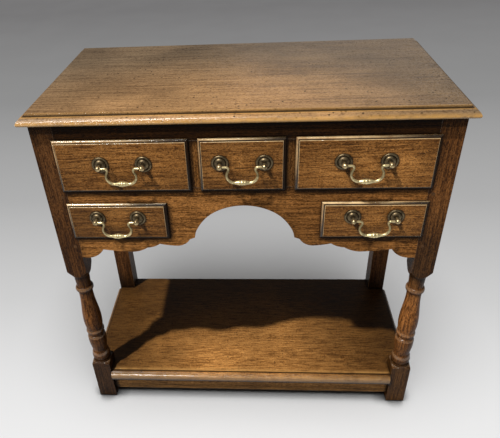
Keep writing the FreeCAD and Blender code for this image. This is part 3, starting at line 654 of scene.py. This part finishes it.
# Boards with a pattern of their own: the seed, and how light the wood is against the rest of its kind,
# which also paints the light and shade that falls on each board, such as the lit right legs and the shaded
# rear left leg.
BOARDS = {"upper_left_drawer_front": (11.0, 1.22), "upper_center_drawer_front": (12.3, 1.00),
          "upper_right_drawer_front": (13.7, 1.32), "lower_left_drawer_front": (15.1, 0.90),
          "lower_right_drawer_front": (16.9, 1.20), "front_leg_left": (7.0, 1.00),
          "front_leg_right": (9.3, 1.40), "rear_leg_left": (5.2, 0.52), "rear_leg_right": (6.1, 1.45),
          "apron": (1.0, 1.24)}
OWN_LOOKS = {"front_leg_right": dict(shade_by_height=RIGHT_LEG_SHADE_BY_HEIGHT),
             # The apron's falloff paints it lighter on the left, where the light falls, and darker towards
             # the right.
             "apron": dict(fade=((-0.27, -0.17, 0.45), (0.64, 1.0, 1.0), (0.88, 0.85, 0.82)))}
# Painted shade on a drawer front: reach of its lit middle in shares of its width and height, and tone
# beyond it.
DRAWER_SHADE_WIDTH = 0.62
DRAWER_SHADE_HEIGHT = 0.72
DRAWER_SHADE_TONE = (0.60, 0.57, 0.53)
UPRIGHT_GRAIN = ("_leg_left", "_leg_right", "muntin_left", "muntin_right")
DEPTH_GRAIN_STARTS = ("side_", "upper_runners", "lower_runners", "drawer_guides", "kickers",
                      "lower_partition")
DEPTH_GRAIN_ENDS = ("_left_side", "_right_side")
materials = {}


def grain_axis(node):
    if node.endswith(UPRIGHT_GRAIN):
        return "z"
    if node.startswith(DEPTH_GRAIN_STARTS) or node.endswith(DEPTH_GRAIN_ENDS):
        return "y"
    return "x"


def drawer_shade(node):
    """Painted shade that darkens a drawer front from its middle towards its edges."""
    low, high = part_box(node)
    middle = [(start + end) / 2.0 for start, end in zip(low, high)]
    reach = (DRAWER_SHADE_WIDTH * (high[0] - low[0]), 1.0, DRAWER_SHADE_HEIGHT * (high[2] - low[2]))
    return middle, reach, DRAWER_SHADE_TONE


def oak_for(node):
    """The oak of a node's slot with what the node has of its own, and the seed of its pattern."""
    slot = slot_of[node]
    seed, tone_and_light = BOARDS.get(node, (SEEDS[grain_axis(node)], 1.0))
    looks = dict(OWN_LOOKS.get(node, {}))
    if slot == "oak_drawer_front":
        looks["fade"] = drawer_shade(node)
    for tone in ("dark", "middle", "light"):
        looks[tone] = shade(getattr(OAKS[slot], tone), tone_and_light)
    return replace(OAKS[slot], **looks), seed


def material_for(node):
    slot = slot_of[node]
    axis = grain_axis(node)
    name = node if node in BOARDS else slot + "_" + axis
    if name not in materials:
        if slot == "brass_aged":
            materials[name] = brass(name, POST_BRASS)
        elif slot == "brass_bail":
            materials[name] = brass(name, BAIL_BRASS)
        elif slot == "oak_pegs":
            materials[name] = end_grain(name)
        else:
            oak, seed = oak_for(node)
            materials[name] = OakSurface(name, axis, seed, oak).material
    return materials[name]


# A moulding runs round some sides of a board whose face looks along an axis. Width is from the outline to
# the step, step is how deep that is, and the next field is the width of the dark line at its foot, old wax
# with painted shade. The nose of a board is painted paler more and more between two depths, partly as
# rubbing and partly as a painted highlight, and below the shaded depth it is painted in shade.
Moulding = namedtuple("Moulding", "axis sides width step wax wax_share rub rub_start rub_end dark_depth",
                      defaults=(0.0, 0.0, math.inf))
BOARD_SIDES = ("left", "right", "front")
FRONT_SIDES = ("left", "right", "lower", "upper")
MOULDINGS = {
    "top_board": Moulding("z", BOARD_SIDES, width=0.0140, step=0.0040, wax=0.0045, wax_share=0.66,
                          rub=0.85, rub_start=0.0075, rub_end=0.0145),
    "potboard": Moulding("z", BOARD_SIDES, width=0.0120, step=0.0020, wax=0.0030, wax_share=0.64,
                         rub=0.62, rub_start=0.0030, rub_end=0.0080, dark_depth=0.0175),
}
DRAWER_MOULDING = Moulding("y", FRONT_SIDES, width=0.0050, step=0.0018, wax=0.0019, wax_share=1.0,
                           rub=0.45)
# Depths of the line of old wax and painted shade at a step's foot, in shares of the step's depth, and how
# far it goes past the step.
WAX_AND_SHADE_LINE_TOP = 0.6
WAX_AND_SHADE_LINE_FOOT = 3.0
WAX_AND_SHADE_LINE_PAST = 0.0004
# Painted shade on the lower nose of a board.
NOSE_SHADE = 0.70
# Painted shade on a drawer moulding's faces that look down or to the right.
AWAY_SHADE = 0.75
# Parts of a face's normal that say which way it looks.
FLAT = 0.985
FRONTWARD = -0.5
DOWNWARD = -0.2
RIGHTWARD = 0.2
UPWARD = 0.45

# Heights between which the upper sides of the front legs' beads are painted paler and glossier, partly as
# polish and partly as a painted highlight, and where on the beads.
BRIGHT_BEADS = ((0.121, 0.150), (0.196, 0.226), (0.341, 0.357))
BRIGHT_BEAD_RADIUS = 0.0172
BRIGHT_BEAD_UPWARD = 0.12
BRIGHT_BEAD_WEAR = 0.24

# Widths of the eased edges.
EASED = {"top_board": 0.0012, "potboard": 0.0016, "top_rail": 0.0006, "apron": 0.0010,
         "front_leg_left": 0.0012, "front_leg_right": 0.0012, "rear_leg_left": 0.0012,
         "rear_leg_right": 0.0012, "muntin_left": 0.0005, "muntin_right": 0.0005,
         "front_stretcher": 0.0010, "rear_stretcher": 0.0010, "side_stretcher_left": 0.0010,
         "side_stretcher_right": 0.0010, "side_panel_left": 0.0008, "side_panel_right": 0.0008,
         "back_panel": 0.0008}
EASED_DRAWER = 0.0007
EASED_SEGMENTS = 3
ROUND_PROFILE = 0.5
EASED_ANGLE = math.radians(38.0)
SHORTEST_EASED = 0.002
SAME_POINT = 2e-6
SAME_PLANE = math.radians(0.4)
CREASE_ANGLE = math.radians(42.0)
DRESSED = "_dressed"

GRIP = "_grip"
GRIP_FILL = 0.0006
GRIP_HEIGHT = 0.45


def inset(point, low, high, sides):
    """Distance from a point to the nearest of the moulded sides of its box."""
    gaps = {"left": point.x - low[0], "right": high[0] - point.x, "front": point.y - low[1],
            "lower": point.z - low[2], "upper": high[2] - point.z}
    return min(gaps[side] for side in sides)


def whole_faces(source):
    """Bmesh of a CAD mesh whose points are joined and whose flat faces are whole."""
    bm = bmesh.new()
    verts = [bm.verts.new(vertex.co) for vertex in source.vertices]
    for polygon in source.polygons:
        corners = [verts[index] for index in polygon.vertices]
        if len(set(corners)) > 2 and bm.faces.get(corners) is None:
            bm.faces.new(corners)
    bmesh.ops.remove_doubles(bm, verts=bm.verts, dist=SAME_POINT)
    bmesh.ops.dissolve_limit(bm, angle_limit=SAME_PLANE, verts=bm.verts, edges=bm.edges)
    bm.normal_update()
    return bm


def is_sharp(edge):
    return (edge.is_manifold and edge.is_convex and edge.calc_face_angle(0.0) > EASED_ANGLE
            and edge.calc_length() > SHORTEST_EASED)


def shade_step(bm, node, moulding):
    """Mark the points of a moulding that are painted dark: old wax and painted shade at the foot of its
    step, and painted shade on its lower nose.
    """
    quirk = bm.verts.layers.float["quirk"]
    low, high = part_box(node)
    level = low[1] if moulding.axis == "y" else high[2]
    for vert in bm.verts:
        depth = abs(vert.co[AXES[moulding.axis]] - level)
        gap = inset(vert.co, low, high, moulding.sides)
        at_foot = WAX_AND_SHADE_LINE_TOP * moulding.step < depth < WAX_AND_SHADE_LINE_FOOT * moulding.step
        if at_foot and moulding.width - moulding.wax < gap < moulding.width + WAX_AND_SHADE_LINE_PAST:
            vert[quirk] = moulding.wax_share
        # Painted shade on the lower nose, below the shaded depth.
        elif gap < moulding.width and depth > moulding.dark_depth:
            vert[quirk] = NOSE_SHADE


def brighten_and_shade_moulding(bm, node, moulding, eased):
    """Mark the rubbed faces of a moulding, with a painted highlight on a nose and on a drawer's upward
    faces, and painted shade on a drawer's faces that look down or to the right.
    """
    wear = bm.faces.layers.float["wear"]
    quirk = bm.verts.layers.float["quirk"]
    low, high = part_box(node)
    for face in bm.faces:
        middle = face.calc_center_median()
        flat = max(abs(part) for part in face.normal) > FLAT and face.normal.y > FRONTWARD
        if face in eased or flat or inset(middle, low, high, moulding.sides) > moulding.width:
            continue
        if moulding.axis == "z":
            depth = high[2] - middle.z
            if depth <= moulding.dark_depth:
                # The nose is painted paler with depth, partly as rubbing and partly as a painted
                # highlight.
                face[wear] = moulding.rub * place_between(depth, moulding.rub_start, moulding.rub_end)
        # Painted shade where a drawer moulding looks down or to the right.
        elif face.normal.z < DOWNWARD or face.normal.x > RIGHTWARD:
            for vert in face.verts:
                vert[quirk] = max(vert[quirk], AWAY_SHADE)
        # A drawer moulding's upward faces take the full pale tone as a painted highlight; its other faces
        # are rubbed.
        elif abs(face.normal.y) < FLAT:
            face[wear] = 1.0 if face.normal.z > UPWARD else moulding.rub


def brighten_beads(bm, node):
    """Mark the upper sides of a front leg's beads as rubbed and painted with a highlight."""
    wear = bm.faces.layers.float["wear"]
    low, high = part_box(node)
    for face in bm.faces:
        middle = face.calc_center_median()
        on_bead = any(start < middle.z < end for start, end in BRIGHT_BEADS)
        radius = math.hypot(middle.x - (low[0] + high[0]) / 2.0, middle.y - (low[1] + high[1]) / 2.0)
        if on_bead and radius > BRIGHT_BEAD_RADIUS and face.normal.z > BRIGHT_BEAD_UPWARD:
            face[wear] = BRIGHT_BEAD_WEAR


def stand_in(node, mesh, ending):
    """New object that shows a mesh in place of a CAD node, on the node's body."""
    mesh.name = node + ending
    mesh.materials.clear()
    mesh.materials.append(material_for(node))
    piece = bpy.data.objects.new(node + ending, mesh)
    scene.collection.objects.link(piece)
    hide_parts(node)
    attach(piece, nodes[node]["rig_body"])
    return piece


def dress(node, width, moulding=None):
    """Copy of a wooden CAD node whose sharp edges are eased, with wear, painted highlights, old wax and
    painted shade marked on it.
    """
    bm = whole_faces(nodes[node].data)
    sharp = [edge for edge in bm.edges if is_sharp(edge)]
    wear = bm.faces.layers.float.new("wear")
    bm.verts.layers.float.new("quirk")
    bevel = bmesh.ops.bevel(bm, geom=sharp, offset=width, offset_type="OFFSET",
                            segments=EASED_SEGMENTS, profile=ROUND_PROFILE, affect="EDGES",
                            clamp_overlap=True)
    eased = set(bevel["faces"])
    bm.normal_update()
    if moulding:
        shade_step(bm, node, moulding)
        brighten_and_shade_moulding(bm, node, moulding, eased)
    if node.startswith("front_leg"):
        brighten_beads(bm, node)
    for face in bm.faces:
        face.smooth = True
        if face in eased:
            face[wear] = 1.0
    mesh = bpy.data.meshes.new(node + DRESSED)
    bm.to_mesh(mesh)
    bm.free()
    mesh.set_sharp_from_angle(angle=CREASE_ANGLE)
    piece = stand_in(node, mesh, DRESSED)
    piece.modifiers.new("normals", "WEIGHTED_NORMAL").keep_sharp = True


def fill_grip(node):
    """Copy of a bail whose grip is a little fuller than its necks."""
    mesh = nodes[node].data.copy()
    low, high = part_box(node)
    grip_top = low[2] + GRIP_HEIGHT * (high[2] - low[2])
    moves = [vertex.normal * (GRIP_FILL * (1.0 - place_between(vertex.co.z, low[2], grip_top)))
             for vertex in mesh.vertices]
    for vertex, move in zip(mesh.vertices, moves):
        vertex.co += move
        vertex.co.y = max(vertex.co.y, cad_low[1])
    stand_in(node, mesh, GRIP)


for node in nodes:
    if node in EASED:
        dress(node, EASED[node], MOULDINGS.get(node))
    elif slot_of[node] == "oak_drawer_front":
        dress(node, EASED_DRAWER, DRAWER_MOULDING)
    elif slot_of[node] == "brass_bail":
        fill_grip(node)
    else:
        mesh = nodes[node].data
        mesh.materials.clear()
        mesh.materials.append(material_for(node))

FLOOR_SIZE = 30.0
FLOOR_CELLS = 8
# Places from which the floor greys, towards the back, the sides and the front, and over what length.
GREY_BACK = -0.30
GREY_SIDE = 1.40
GREY_FRONT = 1.20
GREY_LENGTH = 4.3
BACKDROP = (0.175, 0.172, 0.173)
SWEEP = ((0.0, even(0.83)), (0.03, even(0.78)), (0.11, even(0.60)), (0.24, even(0.41)),
         (0.48, even(0.265)), (1.0, BACKDROP))
FLOOR_SPOTS = (3.0, 2.0)
FLOOR_SPOT_TONE = even(0.5)
FLOOR_SPOT_SHARE = (0.3, 0.7, 0.0, 0.02)
FLOOR_ROUGHNESS = (0.3, 0.7, 0.86, 0.94)
FLOOR_SHEEN = 0.05
CONTACT_REACH = 0.035
CONTACT_SAMPLES = 8
CONTACT_SHADE = (0.46, 0.94, 0.22, 1.0)
BLACK = even(0.0)
FLOOR_BOUNCE = even(0.10)


def stage_floor():
    """Pale floor that greys away from the part, sooner towards the back, with a painted contact shadow
    near the part, and throws little light back.
    """
    mesh = bpy.data.meshes.new("floor")
    bm = bmesh.new()
    bmesh.ops.create_grid(bm, x_segments=FLOOR_CELLS, y_segments=FLOOR_CELLS, size=FLOOR_SIZE)
    bm.to_mesh(mesh)
    bm.free()
    floor = bpy.data.objects.new("floor", mesh)
    scene.collection.objects.link(floor)
    sweep = Surface("floor_sweep")
    across = sweep.math("ABSOLUTE", sweep.part(sweep.place, "x"))
    depth = sweep.part(sweep.place, "y")
    away = sweep.highest(sweep.weigh(-GREY_BACK, (depth, 1.0)), sweep.weigh(-GREY_SIDE, (across, 1.0)),
                         sweep.weigh(-GREY_FRONT, (depth, -1.0)))
    tone = sweep.ramp(sweep.math("DIVIDE", away, GREY_LENGTH, clamp=True), SWEEP)
    spots = sweep.spots(*FLOOR_SPOTS)
    tone = sweep.mix(sweep.between(spots, *FLOOR_SPOT_SHARE), tone, solid(FLOOR_SPOT_TONE))
    # Painted contact shadow, darker where the part closely encloses the floor.
    painted_contact_shadow = sweep.between(sweep.openness(CONTACT_REACH, samples=CONTACT_SAMPLES), *CONTACT_SHADE)
    tone = sweep.mix(painted_contact_shadow, solid(BLACK), tone)
    sweep.set("Base Color", sweep.mix(sweep.looked_at(), solid(FLOOR_BOUNCE), tone))
    sweep.set("Roughness", sweep.between(spots, *FLOOR_ROUGHNESS))
    sweep.set("Specular IOR Level", FLOOR_SHEEN)
    mesh.materials.append(sweep.material)
    floor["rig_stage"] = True
    return floor


def cad_name(piece):
    return piece.name.replace(DRESSED, "").replace(GRIP, "")


def lit_group(name, objects):
    """Collection of what a lamp lights."""
    group = bpy.data.collections.new(name)
    for item in objects:
        group.objects.link(item)
    return group


def aim(data, receivers, place, target):
    """Lamp object at a place that looks at a target."""
    lamp = bpy.data.objects.new(data.name, data)
    lamp.location = place
    lamp.rotation_mode = "QUATERNION"
    lamp.rotation_quaternion = (Vector(place) - Vector(target)).to_track_quat("Z", "Y")
    scene.collection.objects.link(lamp)
    lamp.light_linking.receiver_collection = receivers
    return lamp


PART_MIDDLE = Vector((0.0, 0.0, 0.45))
LAMP_DISTANCE = 9.0
WARM_LIGHT = (1.0, 0.96, 0.90)


def far_lamp(name, receivers, towards, strength, angle):
    """Far, warm disc lamp that lights the part with an irradiance and an angular width in degrees."""
    data = bpy.data.lights.new(name, "AREA")
    data.shape = "DISK"
    data.size = 2.0 * LAMP_DISTANCE * math.tan(math.radians(angle) / 2.0)
    data.energy = strength * math.pi * LAMP_DISTANCE ** 2
    data.color = WARM_LIGHT
    aim(data, receivers, PART_MIDDLE + Vector(towards).normalized() * LAMP_DISTANCE, PART_MIDDLE)


def sky_lamp(name, receivers, towards, strength, angle):
    """Sun lamp with an irradiance and an angular width in degrees."""
    data = bpy.data.lights.new(name, "SUN")
    data.energy = strength
    data.angle = math.radians(angle)
    aim(data, receivers, towards, (0.0, 0.0, 0.0))


def panel(name, receivers, place, target, size, power):
    """Rectangular lamp."""
    data = bpy.data.lights.new(name, "AREA")
    data.energy = power
    data.shape = "RECTANGLE"
    data.size, data.size_y = size
    return aim(data, receivers, place, target)


FACED = ("oak_top", "oak_legs", "oak_frame", "oak_pegs", "oak_drawer_front", "brass_aged", "brass_bail")
REAR = ("back_panel", "rear_leg_left", "rear_leg_right", "rear_stretcher", "side_panel_left",
        "side_panel_right", "side_stretcher_left", "side_stretcher_right")
floor = stage_floor()
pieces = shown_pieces()
part_group = lit_group("lit_part", pieces)
floor_group = lit_group("lit_floor", [floor])
rear_group = lit_group("lit_rear", [piece for piece in pieces if cad_name(piece) in REAR])
face_group = lit_group("lit_face", [piece for piece in pieces if slot_of[cad_name(piece)] in FACED])
top_group = lit_group("lit_top", [piece for piece in pieces if cad_name(piece) == "top_board"])
potboard_group = lit_group("lit_potboard", [piece for piece in pieces if cad_name(piece) == "potboard"])

far_lamp("left_lamp", face_group, towards=(-0.45, -0.75, 1.0), strength=1.30, angle=2.2)
far_lamp("front_lamp", part_group, towards=(-0.41, -0.40, 1.0), strength=2.95, angle=2.2)
sky_lamp("floor_lamp", floor_group, towards=(0.0, -0.20, 1.0), strength=3.15, angle=38.0)
panel("front_fill", part_group, place=(0.2, -3.6, 0.70), target=PART_MIDDLE,
      size=(2.6, 1.2), power=2.5)
panel("edge_light", top_group, place=(-1.4, -3.0, 0.62), target=(-0.15, -0.19, 0.72),
      size=(1.5, 0.3), power=20.0)
nose_light = panel("nose_light", potboard_group, place=(-0.95, -3.2, 0.75),
                   target=(-0.20, -0.17, 0.085), size=(0.9, 0.9), power=70.0)
nose_light.visible_diffuse = False
panel("back_fill", rear_group, place=(0.6, 3.4, 1.2), target=(0.0, 0.0, 0.5),
      size=(2.4, 1.2), power=45.0)
panel("top_sheen", top_group, place=(0.8, 3.0, 1.6), target=(0.0, 0.0, 0.76),
      size=(2.0, 1.0), power=6.0)

SKY_LIGHT = (0.055, 0.054, 0.053)


def studio_world():
    """World that gives a dim, even light and is seen as the grey backdrop."""
    world = bpy.data.worlds.new("studio")
    world.use_nodes = True
    graph = Graph(world.node_tree)
    sky = world.node_tree.nodes["Background"]
    graph.feed(sky.inputs["Color"], graph.mix(graph.looked_at(), solid(SKY_LIGHT), solid(BACKDROP)))
    sky.inputs["Strength"].default_value = 1.0
    scene.world = world


# The photograph's camera: lens and sensor in millimetres, shift in frame widths, place and unit axes.
LENS = 37.3115
SENSOR_WIDTH = 36.0
SHIFT = (0.05936, -0.02186)
CAMERA_PLACE = (0.029255, -0.977032, 1.097363)
CAMERA_RIGHT = (0.99717119, 0.05833073, -0.04740411)
CAMERA_UP = (0.00719456, 0.5537085, 0.83267949)
CAMERA_BACK = (0.07481886, -0.83066505, 0.5517225)


def photo_camera():
    data = bpy.data.cameras.new("camera")
    data.sensor_fit = "HORIZONTAL"
    data.sensor_width = SENSOR_WIDTH
    data.lens = LENS
    data.shift_x, data.shift_y = SHIFT
    camera = bpy.data.objects.new("camera", data)
    turn = Matrix((CAMERA_RIGHT, CAMERA_UP, CAMERA_BACK)).transposed().to_4x4()
    camera.matrix_world = Matrix.Translation(CAMERA_PLACE) @ turn
    scene.collection.objects.link(camera)
    return camera


studio_world()
scene.camera = photo_camera()
scene.view_settings.view_transform = "Standard"
